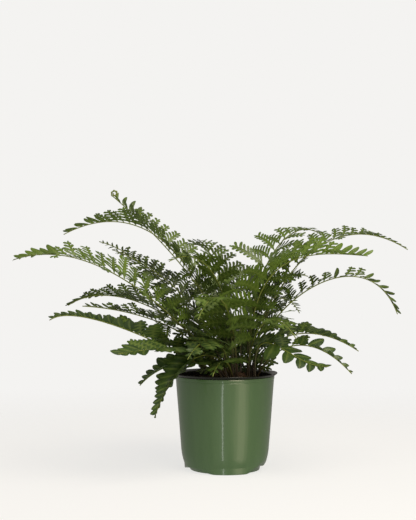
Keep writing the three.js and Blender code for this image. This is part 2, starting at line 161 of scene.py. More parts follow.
softbox("key_overhead", (0.55, -0.75, 1.75), (0.0, 0.0, 0.25), (1.1, 1.1), 24, "#fff6e8")
softbox("fill_front", (0.8, -1.6, 0.6), (0.0, 0.0, 0.2), (1.0, 1.0), 14, "#fff0d2")
softbox("band_right", (1.17, -1.38, -0.55), (0.0, 0.0, 0.07), (1.2, 1.0), 2, "#fff3d0")
softbox("band_core", (1.13, -1.33, -0.53), (0.0, 0.0, 0.07), (0.6, 1.0), 1.3, "#fff3d0")
softbox("strip_front", (-0.31, -2.56, -0.8), (0.0, 0.0, 0.07), (0.14, 1.5), 2.6)
softbox("fill_left", (-1.5, -0.9, 0.9), (0.0, 0.0, 0.2), (1.0, 1.0), 3, "#f2f6ff")
print("lamps:", len(bpy.data.lights))

# %% [markdown]
# The floor is a plain pale disc. Past its middle it fades to clear, so that it passes into the
# backdrop without an edge, from any side. The fade reads the disc's own coordinates.

# %% Floor
FLOOR_RADIUS = 1.6
FADE_FROM, FADE_TO = 0.35, 1.3  # metres from the pot
floor_paint, tree = new_material("matt_studio_floor")
where = add(tree, "TexCoord")
far = add(tree, "VectorMath", {0: where.outputs["Object"]}, operation="LENGTH")
fade = add(
    tree,
    "MapRange",
    {0: far.outputs["Value"], 1: FADE_FROM, 2: FADE_TO},
    interpolation_type="SMOOTHSTEP",
)
matt = add(
    tree,
    "BsdfPrincipled",
    {
        "Base Color": linear("#858482"),
        "Roughness": 0.9,
        "Specular IOR Level": 0.0,
        "Emission Color": linear(BACKDROP),
        "Emission Strength": 0.8,
    },
)
clear = add(tree, "BsdfTransparent")
faded = add(tree, "MixShader", {0: fade.outputs[0], 1: matt.outputs[0], 2: clear.outputs[0]})
add(tree, "OutputMaterial", {"Surface": faded.outputs[0]})

floor_mesh = bpy.data.meshes.new("floor")
angles = np.linspace(0, 2 * math.pi, 97)[:-1]
rim = [(FLOOR_RADIUS * math.cos(a), FLOOR_RADIUS * math.sin(a), 0) for a in angles]
floor_mesh.from_pydata(rim, [], [range(len(rim))])
floor_mesh.materials.append(floor_paint)
floor = bpy.data.objects.new("floor", floor_mesh)
floor.location.z = -0.0005
bpy.context.scene.collection.objects.link(floor)
floor.visible_glossy = False
floor.visible_shadow = False
print("floor:", 2 * FLOOR_RADIUS, "m across")

# %% [markdown]
# ## Making a piece
# Every piece is made the same way: points and faces from a rule, one mesh, its materials, and then
# the call that ties it to the frame. A piece rides on the one body and stands for its CAD node.

# %% Meshes and pieces
def mesh_object(name, points, faces, materials, face_materials=None):
    """A smooth mesh from points in millimetres."""
    mesh = bpy.data.meshes.new(name)
    mesh.from_pydata((np.asarray(points) * MM).tolist(), [], [list(map(int, f)) for f in faces])
    for one in materials:
        mesh.materials.append(one)
    mesh.polygons.foreach_set("use_smooth", [True] * len(mesh.polygons))
    if face_materials is not None:
        mesh.polygons.foreach_set("material_index", face_materials)
    mesh.update()
    made = bpy.data.objects.new(name, mesh)
    bpy.context.scene.collection.objects.link(made)
    return made


def tie(piece, node):
    """The piece rides on the body and replaces its node."""
    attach(piece, "root")
    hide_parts(node)


def lathe(profile, sides):
    """Points and faces of a profile turned round Z. Its (radius, height) points begin and end on the axis."""
    profile = np.asarray(profile, float)
    ring = profile[1:-1]
    around = np.arange(sides) * 2 * math.pi / sides
    x = ring[:, :1] * np.cos(around)
    y = ring[:, :1] * np.sin(around)
    z = np.repeat(ring[:, 1:], sides, axis=1)
    points = np.stack([x, y, z], axis=-1).reshape(-1, 3)
    points = np.vstack([points, [0, 0, profile[0, 1]], [0, 0, profile[-1, 1]]])
    low, high = len(points) - 2, len(points) - 1
    last = (len(ring) - 1) * sides
    faces = []
    for j in range(sides):
        k = (j + 1) % sides
        faces.append((low, k, j))
        faces.append((high, last + j, last + k))
        for i in range(0, last, sides):
            faces.append((i + j, i + k, i + sides + k, i + sides + j))
    return points, faces


def rounded(profile, radius, steps=3):
    """The profile with each inner corner eased off over that many millimetres."""
    profile = [np.array(p, float) for p in profile]
    made = [profile[0]]
    for before, corner, after in zip(profile, profile[1:], profile[2:]):
        reach = min(radius, np.linalg.norm(corner - before) / 2.2, np.linalg.norm(after - corner) / 2.2)
        start = corner + (before - corner) / np.linalg.norm(before - corner) * reach
        end = corner + (after - corner) / np.linalg.norm(after - corner) * reach
        for i in range(steps + 1):
            t = i / steps
            made.append((1 - t) ** 2 * start + 2 * t * (1 - t) * corner + t**2 * end)
    made.append(profile[-1])
    return made

# %% [markdown]
# ## The green pot
# Such an outer pot is injection-moulded polypropylene, dyed right through. The mould is polished,
# so the wall has a soft gloss, but the part shrinks as it cools and the wall ends up very slightly
# out of true. That is what makes the long highlights waver. A lathe with many sides gives the wall,
# and a formula lifts the bottom edge between the three feet, which is simpler than cutting it.

# %% Green polypropylene, injection-moulded
green_plastic, tree = new_material("green_polypropylene_moulded")
where = add(tree, "TexCoord")
# Flow marks run up the wall, so the pattern is stretched along Z
across, along = per_metre(12.5), per_metre(111)
stretched = add(tree, "Mapping", {"Vector": where.outputs["Object"], "Scale": (across, across, along)})
flow = add(tree, "TexNoise", {"Vector": stretched.outputs[0], "Scale": 1.0, "Detail": 3.0})
# A fine grain of about 0.8 mm breaks the gloss a little
grain = add(tree, "TexNoise", {"Vector": where.outputs["Object"], "Scale": per_metre(0.83), "Detail": 2.0})
dye = add(
    tree,
    "Mix",
    {FACTOR: flow.outputs[0], FIRST: linear("#3f5a35"), SECOND: linear("#4a653e")},
    data_type="RGBA",
)
gloss = add(tree, "MapRange", {0: flow.outputs[0], 1: 0.3, 2: 0.7, 3: 0.28, 4: 0.38})
relief = add(tree, "Bump", {"Strength": 0.12, "Distance": 0.0002, "Height": grain.outputs[0]})
shell = add(
    tree,
    "BsdfPrincipled",
    {
        "Base Color": dye.outputs[MIXED],
        "Roughness": gloss.outputs[0],
        "IOR": 1.49,
        "Normal": relief.outputs[0],
        "Coat Weight": 0.8,
        "Coat Roughness": 0.08,
    },
)
add(tree, "OutputMaterial", {"Surface": shell.outputs[0]})

# %% Pot sizes
POT = {
    "height": 142.5,
    "rim": 75.8,  # outside radius of the rim band
    "band": 4.6,  # height of the band
    "step": 0.5,  # how far it stands proud of the wall
    "foot": 61.6,  # radius of the flat base
    "skirt": (62.3, 9.5),  # the crease over the feet
    "shoulder": [(64.4, 16.0), (65.9, 22.5)],  # the rounding from the crease up to the wall
    "corner": (67.0, 30.0),  # where the straight wall begins
    "wall": 1.9,
    "floor": 3.0,
    "chamfer": (46.0, 26.0),  # inside, the floor turns up here
}
# The bottom edge swings up between three feet. (turn, lift): degrees from the front towards +X, and mm
NOTCHES = [(-57, 6.2), (70, 10.5), (186, 8.0)]
NOTCH = {
    "half_width": 43,  # degrees from its middle to the feet beside it
    "level_half": 12,  # degrees from its middle to where it begins to fall
    "inner": 54.0,  # the underside is flat up to this radius
}


def pot_wall(height):
    """Outside radius of the pot's wall."""
    radius, foot = POT["corner"]
    share = (height - foot) / (POT["height"] - POT["band"] - foot)
    return radius + (POT["rim"] - POT["step"] - radius) * share


print("wall:", round(pot_wall(POT["corner"][1]), 1), "mm at its foot,", POT["rim"], "mm at the rim")

# %% Outline of the green pot
POT_SIDES = 256
BAND_FOOT = POT["height"] - POT["band"]
base = rounded([(POT["foot"] - 4, 0), (POT["foot"], 0), POT["skirt"], *POT["shoulder"], POT["corner"]], 0.8)
outside = [(0, 0), (30, 0), (NOTCH["inner"] - 1, 0), (NOTCH["inner"] + 1, 0), *base[:-1]]
outside += [(pot_wall(z), z) for z in np.linspace(POT["corner"][1], BAND_FOOT - 2.4, 24)]
band = rounded(
    [
        (pot_wall(BAND_FOOT - 2), BAND_FOOT - 2),
        (pot_wall(BAND_FOOT - 0.9), BAND_FOOT - 0.9),
        (pot_wall(BAND_FOOT) - 0.45, BAND_FOOT - 0.2),  # the shadow line under the band
        (POT["rim"], BAND_FOOT + 0.5),
        (POT["rim"], POT["height"]),
        (pot_wall(BAND_FOOT) - POT["wall"], POT["height"]),
        (pot_wall(BAND_FOOT - 6) - POT["wall"], BAND_FOOT - 6),
    ],
    0.35,
)
inside = rounded(
    [
        (pot_wall(100) - POT["wall"], 100),
        (pot_wall(POT["chamfer"][1]) - POT["wall"], POT["chamfer"][1]),
        (POT["chamfer"][0], POT["floor"]),
        (0, POT["floor"]),
    ],
    2.0,
)
print("outline:", len(outside) + len(band) + len(inside), "points")

# %% Green pot
points, faces = lathe([*outside, *band, *inside], POT_SIDES)
radius = np.hypot(points[:, 0], points[:, 1])
turn = np.degrees(np.arctan2(points[:, 0], -points[:, 1]))  # from the front, towards +X
arch = np.zeros(len(points))
for notch_turn, lift in NOTCHES:
    off = np.abs((turn - notch_turn + 180) % 360 - 180)
    slope = np.clip((NOTCH["half_width"] - off) / (NOTCH["half_width"] - NOTCH["level_half"]), 0, 1)
    arch = np.maximum(arch, lift * slope * slope * (3 - 2 * slope))
outer = np.arange(len(points)) < (len(outside) + len(band) // 2) * POT_SIDES
lifted = outer & (radius > NOTCH["inner"])
points[:, 2] = np.where(lifted, np.maximum(points[:, 2], arch), points[:, 2])
# The wall is a few tenths of a millimetre out of true, more so lower down
around = np.radians(turn)
waver = 0.12 * np.sin(2 * around + 0.6) + 0.05 * np.sin(7 * around + points[:, 2] / 21)
waver += 0.035 * np.sin(13 * around - points[:, 2] / 13)
scale = 1 + waver / np.maximum(radius, 20)
points[:, :2] *= scale[:, None]
pot = mesh_object("green_pot", points, faces, [green_plastic])
tie(pot, "pot")
print("green pot:", len(faces), "faces,", 2 * POT["rim"], "mm across the rim")

# %% [markdown]
# ## The black grower's pot
# Growers use thin pots of recycled black polypropylene. Only its flared lip shows, and the lip is
# smooth and shiny where the mould closed, so it catches one small hard highlight. Inside, dust from the
# mix makes the same plastic dull, so the piece wears two materials.

# %% Black polypropylene, moulded
black_plastic, tree = new_material("black_polypropylene_moulded")
where = add(tree, "TexCoord")
# Scuffs from the potting bench, a few millimetres long
scuff = add(tree, "TexNoise", {"Vector": where.outputs["Object"], "Scale": per_metre(3.85), "Detail": 4.0})
worn = add(
    tree,
    "Mix",
    {FACTOR: scuff.outputs[0], FIRST: linear("#0b0b0a"), SECOND: linear("#1c1b19")},
    data_type="RGBA",
)
gloss = add(tree, "MapRange", {0: scuff.outputs[0], 1: 0.35, 2: 0.7, 3: 0.16, 4: 0.34})
relief = add(tree, "Bump", {"Strength": 0.1, "Distance": 0.0002, "Height": scuff.outputs[0]})
shell = add(
    tree,
    "BsdfPrincipled",
    {
        "Base Color": worn.outputs[MIXED],
        "Roughness": gloss.outputs[0],
        "IOR": 1.49,
        "Normal": relief.outputs[0],
    },
)
add(tree, "OutputMaterial", {"Surface": shell.outputs[0]})

# %% Black polypropylene under dust
dusty_plastic, tree = new_material("black_polypropylene_dusty")
where = add(tree, "TexCoord")
# Dust lies in patches of about 10 mm
patches = add(tree, "TexNoise", {"Vector": where.outputs["Object"], "Scale": per_metre(10), "Detail": 4.0})
dust = add(
    tree,
    "Mix",
    {FACTOR: patches.outputs[0], FIRST: linear("#0c0b0a"), SECOND: linear("#241d16")},
    data_type="RGBA",
)
dull = add(
    tree,
    "BsdfPrincipled",
    {"Base Color": dust.outputs[MIXED], "Roughness": 0.85, "Specular IOR Level": 0.2},
)
add(tree, "OutputMaterial", {"Surface": dull.outputs[0]})

# %% Sizes of the inner pot
GAP = 0.3  # between pieces that touch
LINER = {
    "wall": 1.3,
    "clearance": 0.7,  # to the inside of the green pot
    "floor": (36.0, 6.0),  # its radius and height
    "chamfer": 30.0,  # the wall turns in under this height
    "lip": 80.7,  # outside radius
    "lip_top": 147.3,
    "edge": 0.8,  # the bevel of the lip
    "lip_wall": 1.8,
}


def liner_wall(height):
    """Outside radius of the inner pot's wall."""
    return pot_wall(height) - POT["wall"] - LINER["clearance"]


SEAT = POT["height"] + GAP  # the lip hangs on the rim
print("the inner pot's wall is", round(liner_wall(SEAT), 1), "mm from the axis at the rim")

# %% Black inner pot
LINER_SIDES = 192
floor_radius, floor_height = LINER["floor"]
liner_profile = [
    (0, floor_height),
    (floor_radius, floor_height),
    (liner_wall(LINER["chamfer"]), LINER["chamfer"]),
    (liner_wall(80), 80),
    (liner_wall(SEAT), SEAT),
    (POT["rim"], SEAT),
    (LINER["lip"], LINER["lip_top"] - LINER["edge"]),
    (LINER["lip"] - LINER["edge"], LINER["lip_top"]),
    (liner_wall(SEAT) + LINER["edge"], SEAT + LINER["lip_wall"]),
    (liner_wall(SEAT) - LINER["wall"], SEAT),
    (liner_wall(80) - LINER["wall"], 80),
    (liner_wall(LINER["chamfer"]) - LINER["wall"], LINER["chamfer"]),
    (floor_radius, floor_height + LINER["wall"]),
    (0, floor_height + LINER["wall"]),
]
points, faces = lathe(rounded(liner_profile, 0.7), LINER_SIDES)
# The lip is thin, so it isn't quite level
around = np.arctan2(points[:, 1], points[:, 0])
lip = np.clip((points[:, 2] - SEAT) / 3, 0, 1)
points[:, 2] += lip * (0.25 * np.sin(3 * around + 1) + 0.12 * np.sin(8 * around))
middles = np.array([points[list(f)].mean(0) for f in faces])
from_axis = np.hypot(middles[:, 0], middles[:, 1])
dusty = (from_axis < liner_wall(SEAT) - LINER["wall"] / 2) & (middles[:, 2] < SEAT + LINER["wall"] / 2)
finishes = [black_plastic, dusty_plastic]
inner_pot = mesh_object("black_inner_pot", points, faces, finishes, dusty.astype(int).tolist())
tie(inner_pot, "inner_pot")
print("inner pot:", len(faces), "faces")

# %% [markdown]
# ## The potting mix
# Fern mix is peat with bits of bark, so the surface is a dark, crumbly bed with a few reddish chips.
# The bed is a lathe whose top is stirred up by a few waves of different lengths, and the chips
# are small lumps strewn over it from a seeded random number generator.

# %% Peat and bark
# It drinks up the light, and its crumbs shade each other: near-black, with brown and reddish specks
potting_mix, tree = new_material("peat_and_bark")
where = add(tree, "TexCoord")
# Crumbs of 2 to 3 mm, with finer dust between them
crumbs = add(tree, "TexVoronoi", {"Vector": where.outputs["Object"], "Scale": per_metre(2.38)})
dust = add(tree, "TexNoise", {"Vector": where.outputs["Object"], "Scale": per_metre(1.11), "Detail": 5.0})
patch = add(tree, "TexNoise", {"Vector": where.outputs["Object"], "Scale": per_metre(7.7), "Detail": 2.0})
peat = add(
    tree,
    "Mix",
    {FACTOR: dust.outputs[0], FIRST: linear("#17100b"), SECOND: linear("#4a3524")},
    data_type="RGBA",
)
barky = add(tree, "MapRange", {0: patch.outputs[0], 1: 0.52, 2: 0.7})
mixed = add(
    tree,
    "Mix",
    {FACTOR: barky.outputs[0], FIRST: peat.outputs[MIXED], SECOND: linear("#5f3a25")},
    data_type="RGBA",
)
height = add(tree, "Math", {0: crumbs.outputs["Distance"], 1: dust.outputs[0]}, operation="ADD")
relief = add(tree, "Bump", {"Strength": 0.9, "Distance": 0.0015, "Height": height.outputs[0]})
earth = add(
    tree,
    "BsdfPrincipled",
    {"Base Color": mixed.outputs[MIXED], "Roughness": 0.95, "Normal": relief.outputs[0]},
)
add(tree, "OutputMaterial", {"Surface": earth.outputs[0]})

# %% The bed
SOIL_LEVEL = 135.5
CROWN = np.array([24.0, 0.0, SOIL_LEVEL])  # where the fronds spring from
BED_SIDES = 120
dice = np.random.default_rng(7)


def mix_wall(height):
    """Radius of the mix where it meets the inner pot."""
    return liner_wall(height) - LINER["wall"] - GAP


bed_radius = mix_wall(SOIL_LEVEL)
bed_profile = [
    (0, floor_height + LINER["wall"] + GAP),
    (floor_radius - LINER["wall"], floor_height + LINER["wall"] + GAP),
    (mix_wall(LINER["chamfer"]), LINER["chamfer"]),
    (mix_wall(80), 80),
    *[(r, SOIL_LEVEL) for r in np.linspace(bed_radius, 2, 34)],
    (0, SOIL_LEVEL),
]
points, faces = lathe(bed_profile, BED_SIDES)
top = points[:, 2] > SOIL_LEVEL - 1
x, y = points[:, 0], points[:, 1]
stir = sum(
    size * np.sin(x / reach * math.cos(turn) + y / reach * math.sin(turn) + start)
    for size, reach, turn, start in zip(
        [0.9, 0.8, 0.6, 0.5, 0.4, 0.3],
        [11, 7, 4.2, 3.1, 2.2, 1.6],
        dice.uniform(0, 6.3, 6),
        dice.uniform(0, 6.3, 6),
    )
)
points[top, 2] += stir[top] + 0.2
print("bed:", round(2 * bed_radius), "mm across")

# %% Bark chips
CHIPS = 620
# A chip is an octahedron, pulled about
lump = np.array([(1, 0, 0), (-1, 0, 0), (0, 1, 0), (0, -1, 0), (0, 0, 1), (0, 0, -1)], float)
lump_faces = [(0, 2, 4), (2, 1, 4), (1, 3, 4), (3, 0, 4), (2, 0, 5), (1, 2, 5), (3, 1, 5), (0, 3, 5)]
all_points, all_faces = [points], list(faces)
for _ in range(CHIPS):
    reach = (bed_radius - 3) * math.sqrt(dice.random())
    turn = dice.uniform(0, 2 * math.pi)
    spin = np.linalg.qr(dice.normal(size=(3, 3)))[0]
    size = dice.uniform(0.7, 1.5) * np.array([dice.uniform(1.0, 2.4), dice.uniform(0.7, 1.4), 0.6])
    chip = (lump * size * dice.uniform(0.75, 1.2, (6, 1))) @ spin.T
    place = (reach * math.cos(turn), reach * math.sin(turn), SOIL_LEVEL + dice.uniform(0.1, 1.1))
    start = sum(len(p) for p in all_points)
    all_points.append(chip + place)
    all_faces += [tuple(start + i for i in f) for f in lump_faces]
soil = mesh_object("peat_and_bark_mix", np.vstack(all_points), all_faces, [potting_mix])
tie(soil, "soil")
print("potting mix:", CHIPS, "chips on", len(faces), "faces")

# %% [markdown]
# ## The rootstock
# The stipes spring from a short upright rootstock that is shaggy with dark papery scales. It is
# nearly hidden, so a knobbly stub with scales laid on it like roof tiles is enough. The same lump
# as the bark chips, pulled long and thin, makes a scale.

# %% Papery scales
# Dry, thin and brown, some nearly black and some pale at the tip, so the stub looks shaggy
scaly, tree = new_material("papery_scales")
where = add(tree, "TexCoord")
# Each scale is about 1 mm wide, so the colour changes over a millimetre or so
fleck = add(tree, "TexNoise", {"Vector": where.outputs["Object"], "Scale": per_metre(1.11), "Detail": 2.0})
brown = add(
    tree,
    "Mix",
    {FACTOR: fleck.outputs[0], FIRST: linear("#1d130c"), SECOND: linear("#6b4a2e")},
    data_type="RGBA",
)
relief = add(tree, "Bump", {"Strength": 0.4, "Distance": 0.0004, "Height": fleck.outputs[0]})
paper = add(
    tree,
    "BsdfPrincipled",
    {"Base Color": brown.outputs[MIXED], "Roughness": 0.6, "Normal": relief.outputs[0]},
)
add(tree, "OutputMaterial", {"Surface": paper.outputs[0]})


def unit(v):
    """The vector, or each row of vectors, at length one."""
    return v / np.linalg.norm(v, axis=-1, keepdims=True)


SCALE_THICKNESS = 0.35


def scale_points(foot, along, face, length, width):
    """A scale that starts at foot, points along and lies against the surface whose normal is face."""
    side = unit(np.cross(along, face))
    lengthwise = (lump[:, :1] + 0.9) * along * length / 2
    crosswise = lump[:, 1:2] * side * width / 2
    return foot + lengthwise + crosswise + lump[:, 2:] * face * SCALE_THICKNESS / 2


# %% Rootstock
RHIZOME = {"radius": 10.0, "buried": 12.0, "height": 11.0, "lump": 1.3, "sides": 48, "scales": 150}
root_profile = [
    (0, -RHIZOME["buried"]),
    (RHIZOME["radius"] * 0.8, -RHIZOME["buried"]),
    (RHIZOME["radius"] - RHIZOME["lump"], -RHIZOME["buried"] * 0.4),
    (RHIZOME["radius"] - RHIZOME["lump"], RHIZOME["height"] * 0.15),
    (RHIZOME["radius"] * 0.72, RHIZOME["height"] * 0.6),
    (RHIZOME["radius"] * 0.34, RHIZOME["height"] * 0.92),
    (0, RHIZOME["height"]),
]
points, faces = lathe(rounded(root_profile, 2.0), RHIZOME["sides"])
around = np.arctan2(points[:, 1], points[:, 0])
points[:, :2] *= (1 + RHIZOME["lump"] / RHIZOME["radius"] * np.sin(3 * around + points[:, 2] / 2))[:, None]
points += CROWN
root_points, root_faces = [points], list(faces)
for _ in range(RHIZOME["scales"]):
    turn = dice.uniform(0, 2 * math.pi)
    climb = dice.uniform(0.5, RHIZOME["height"] - 1.5)
    reach = (RHIZOME["radius"] - RHIZOME["lump"]) * (1 - (climb / RHIZOME["height"]) ** 2 * 0.7)
    outward = np.array([math.cos(turn), math.sin(turn), 0.35])
    foot = CROWN + (reach * math.cos(turn), reach * math.sin(turn), climb)
    leaning = unit(np.array([outward[0] * 0.25, outward[1] * 0.25, 1.0]))
    start = sum(len(p) for p in root_points)
    root_points.append(scale_points(foot, leaning, unit(outward), dice.uniform(3, 5), dice.uniform(0.9, 1.5)))
    root_faces += [tuple(start + i for i in f) for f in lump_faces]
rootstock = mesh_object("scaly_rootstock", np.vstack(root_points), root_faces, [scaly])
tie(rootstock, "rhizome")
print("rootstock:", len(root_faces), "faces")

# %% [markdown]
# ## The fronds
# A frond is a stalk with small leaves, the pinnae, on both sides. The stalk is called the stipe
# where it is bare and the rachis where it carries pinnae. Each frond arches out of the crown in an
# upright plane, so one curve with two control points describes it. These are the same arches as in
# the CAD source, which is what keeps each piece where its node is.
#
# turn is the plane's compass angle (0 is +X, 90 the back) and root is how far the stipe stands from
# the crown's middle. rise, bend and tip are (reach, height) of the control points over the mix. leaf
# is the longest pinna, fold lifts the pinnae, roll turns them about the rachis, and bare is the share
# of the length without any. lost is how many of the lowest pinnae have fallen. blunt is the last
# pinna's length as a share of leaf. wedge marks the low, old fronds, whose pinnae are short, broad and
# toothed. angles are a pinna's degrees to the rachis at the two ends of the leafy length, and steps the
# millimetres between two pinnae there. pitch is the room of a finger and web how broad the blade
# between the fingers is. A pinna shorter than plain is one plain lobe, and plump is how wide that lobe
# is. tone, from 0 to 1, is how young and yellow the green is.

# %% The list of fronds
USUAL = {"fold": 28, "roll": 0, "bare": 0.28, "lost": 0, "blunt": 0.1, "wedge": False, "angles": (94, 34)}
USUAL |= {"steps": (12, 4.4), "pitch": 6.4, "web": 1, "plain": 17, "plump": 1, "tone": 0.4}


def aged(plain=14):
    """The habit of a low, old frond, whose pinnae shorter than plain are plain lobes."""
    return {"wedge": True, "angles": (66, 34), "plain": plain}


def frond(name, turn, root, rise, bend, tip, leaf, **rest):
    """The values of one frond: those given, and the usual ones for the rest."""
    place = {"name": name, "turn": turn, "root": root, "rise": rise, "bend": bend, "tip": tip, "leaf": leaf}
    return {**USUAL, **place, **rest}


FRONDS = [
    frond(
        "crozier", 165, 13, (0, 92), (122, 216), (207, 285), 60,
        fold=46, roll=-6, blunt=0.24, angles=(100, 52), steps=(10, 7), plain=26, plump=1.2, tone=0.6,
    ),
    frond(
        "top_left", 174, 20, (30, 120), (118, 303), (273, 226), 62,
        fold=48, roll=-4, blunt=0.28, angles=(94, 28), steps=(11, 9), plain=28, plump=0.85, tone=0.55,
    ),
    frond(
        "long_left", 198, 20, (46, 38), (202, 232), (345, 186), 78,
        fold=26, roll=-22, blunt=0.16, angles=(114, 30), pitch=7, plain=28, plump=1.5, tone=0.72,
    ),
    frond(
        "back_left", 149, 20, (48, 84), (176, 196), (263, 214), 60,
        fold=10, roll=-30, bare=0.1, lost=1, pitch=6, tone=0.2,
    ),
    frond(
        "mid_left", 187, 26, (54, 82), (186, 164), (260, 118), 60,
        fold=42, roll=-10, blunt=0.2, angles=(70, 14), pitch=5.4, tone=0.3,
    ),
    frond(
        "rear_left", 160, 27, (40, 110), (140, 176), (212, 200), 56,
        fold=10, roll=-30, bare=0.1, pitch=6, tone=0.2,
    ),
    frond(
        "low_left", 201, 27, (60, 84), (176, 112), (246, 117), 44,
        roll=-14, bare=0.2, blunt=0.25, steps=(10, 4), tone=0.25,
    ),
    frond(
        "fan_left", 211, 25, (88, 42), (266, 126), (314, 102), 46,
        fold=42, blunt=0.2, steps=(12, 5.3), plump=0.9, tone=0.35, **aged(31),
    ),
    frond(
        "curled_left", 225, 28, (52, 66), (150, 60), (244, 54), 50,
        fold=22, roll=-14, lost=1, blunt=0.4, steps=(12, 7), tone=0.45, **aged(30),
    ),
    frond(
        "short_left", 192, 34, (50, 42), (118, 36), (154, -2), 34,
        fold=36, roll=-10, blunt=0.3, steps=(9, 4.4), plump=1.1, tone=0.3, **aged(34),
    ),
    frond(
        "broad_left", 219, 34, (50, 42), (112, 42), (150, -4), 46,
        fold=30, roll=-16, blunt=0.3, steps=(10, 4.4), plump=1.05, tone=0.35, **aged(40),
    ),
    frond(
        "drooping_left", 227, 20, (40, 64), (136, 62), (184, -37), 38,
        fold=40, blunt=0.24, steps=(8.5, 4), plump=1.15, tone=0.35, **aged(34),
    ),
    frond("top_right", 14, 14, (36, 160), (146, 276), (272, 203), 56, roll=14, blunt=0.14, tone=0.45),
    frond(
        "bright_right", 338, 13, (6, 200), (96, 200), (196, 191), 84,
        fold=34, roll=16, bare=0.2, blunt=0.2, angles=(94, 46), steps=(13, 5.4), pitch=8, web=1.6,
        plain=30, plump=1.3, tone=0.9,
    ),
    frond(
        "arching_right", 352, 19, (8, 104), (186, 236), (237, 106), 36,
        roll=12, blunt=0.42, angles=(94, 42), plain=24, tone=0.35,
    ),
    frond(
        "low_right", 346, 26, (28, 72), (104, 97), (178, 50), 42,
        fold=40, blunt=0.16, steps=(17, 6.2), plump=1.1, tone=0.4, **aged(30),
    ),
    frond(
        "lower_right", 330, 25, (44, 50), (110, 90), (182, 21), 38,
        fold=40, blunt=0.16, steps=(17, 6.2), plump=1.1, tone=0.35, **aged(30),
    ),
    frond(
        "short_right", 314, 30, (20, 120), (104, 24), (172, 32), 38,
        fold=0, roll=20, blunt=0.3, steps=(18, 6.6), plump=1.2, tone=0.4, **aged(36),
    ),
    frond("upper_right", 44, 14, (4, 150), (96, 262), (184, 228), 84, fold=20, tone=0.55),
    frond("inner_right", 20, 21, (24, 110), (74, 170), (110, 160), 58, fold=36, roll=10, bare=0.3, tone=0.4),
    frond("side_right", 64, 29, (44, 76), (136, 120), (206, 62), 44, bare=0.04, steps=(8, 4.4), tone=0.25),
    frond("front_left", 250, 14, (26, 120), (108, 164), (184, 104), 64, fold=10, pitch=7, web=2.2, tone=0.5),
    frond("front_right", 296, 19, (30, 96), (104, 122), (166, 76), 60, fold=10, pitch=7, web=2.2, tone=0.45),
    frond("front_low", 246, 27, (42, 38), (76, 46), (104, 18), 44, fold=10, tone=0.6, **aged()),
    frond("front_high", 220, 13, (14, 150), (70, 210), (136, 184), 72, fold=20, pitch=7, web=2.2, tone=0.55),
    frond("front_fan", 241, 30, (44, 70), (104, 88), (160, 46), 56, fold=6, roll=-10, tone=0.4, **aged()),
    frond("back", 88, 14, (26, 130), (132, 206), (236, 146), 66, fold=14, bare=0.06, tone=0.35),
    frond("back_low_left", 124, 25, (46, 88), (168, 130), (250, 70), 54, bare=0.04, steps=(8, 4.4), tone=0.2),
    frond("back_high", 118, 13, (16, 140), (90, 230), (182, 206), 84, fold=36, bare=0.06, tone=0.4),
    frond("back_right", 64, 20, (40, 92), (150, 160), (240, 96), 58, bare=0.06, steps=(9, 4.4), tone=0.3),
    frond(
        "back_low", 96, 28, (44, 70), (120, 90), (190, 40), 50,
        bare=0.04, steps=(8, 4), tone=0.2, **aged(),
    ),
]
print("fronds:", len(FRONDS))

# %% [markdown]
# ## Leaf and stalk
# A fern's leaf is thin and waxy. The wax gives it a soft gloss, and its thinness lets some light
# through, which comes out yellower than what is reflected. So the material mixes a glossy surface
# with a little translucency. Each point of the mesh carries three numbers in a colour attribute:
# how near it is to a vein, how young its pinna is, less a painted shade on pinnae low on the frond,
# and how far up the frond it grows. A fourth says how old the frond is. The material turns them into
# colours.

# %% Waxy fern leaf
leaf_skin, tree = new_material("waxy_fern_leaf")
told = add(tree, "Attribute", attribute_name="growth_and_painted_shade")
parts = add(tree, "SeparateColor", {0: told.outputs["Color"]})
# The second number is the pinna's youth, lowered by painted shade on pinnae low on the frond
near_vein, youth_and_painted_shade, climb = parts.outputs[0], parts.outputs[1], parts.outputs[2]
where = add(tree, "TexCoord")
# Patches of about 12 mm where the green runs lighter or darker
mottle = add(tree, "TexNoise", {"Vector": where.outputs["Object"], "Scale": per_metre(11.8), "Detail": 3.0})
shift = add(tree, "MapRange", {0: mottle.outputs[0], 1: 0.3, 2: 0.7, 3: -0.16, 4: 0.16})
tone = add(tree, "Math", {0: youth_and_painted_shade, 1: shift.outputs[0]}, operation="ADD", use_clamp=True)
green = add(
    tree,
    "Mix",
    {FACTOR: tone.outputs[0], FIRST: linear("#16230f"), SECOND: linear("#5f792b")},
    data_type="RGBA",
)
# The low, old fronds are a deeper and bluer green
age = add(tree, "Math", {0: told.outputs["Alpha"], 1: 0.55}, operation="MULTIPLY")
green = add(
    tree,
    "Mix",
    {FACTOR: age.outputs[0], FIRST: green.outputs[MIXED], SECOND: linear("#2c4526")},
    data_type="RGBA",
)
# A vein is too fine to show, so it is drawn broader, along the middle of each finger
vein = add(tree, "MapRange", {0: near_vein, 1: 0.7, 2: 0.98, 3: 0.0, 4: 0.4})
veined = add(
    tree,
    "Mix",
    {FACTOR: vein.outputs[0], FIRST: green.outputs[MIXED], SECOND: linear("#84934a")},
    data_type="RGBA",
)
# Light that has come through the blade is yellower and brighter
through = add(
    tree,
    "Mix",
    {FACTOR: tone.outputs[0], FIRST: linear("#32471a"), SECOND: linear("#7f9a3c")},
    data_type="RGBA",
)
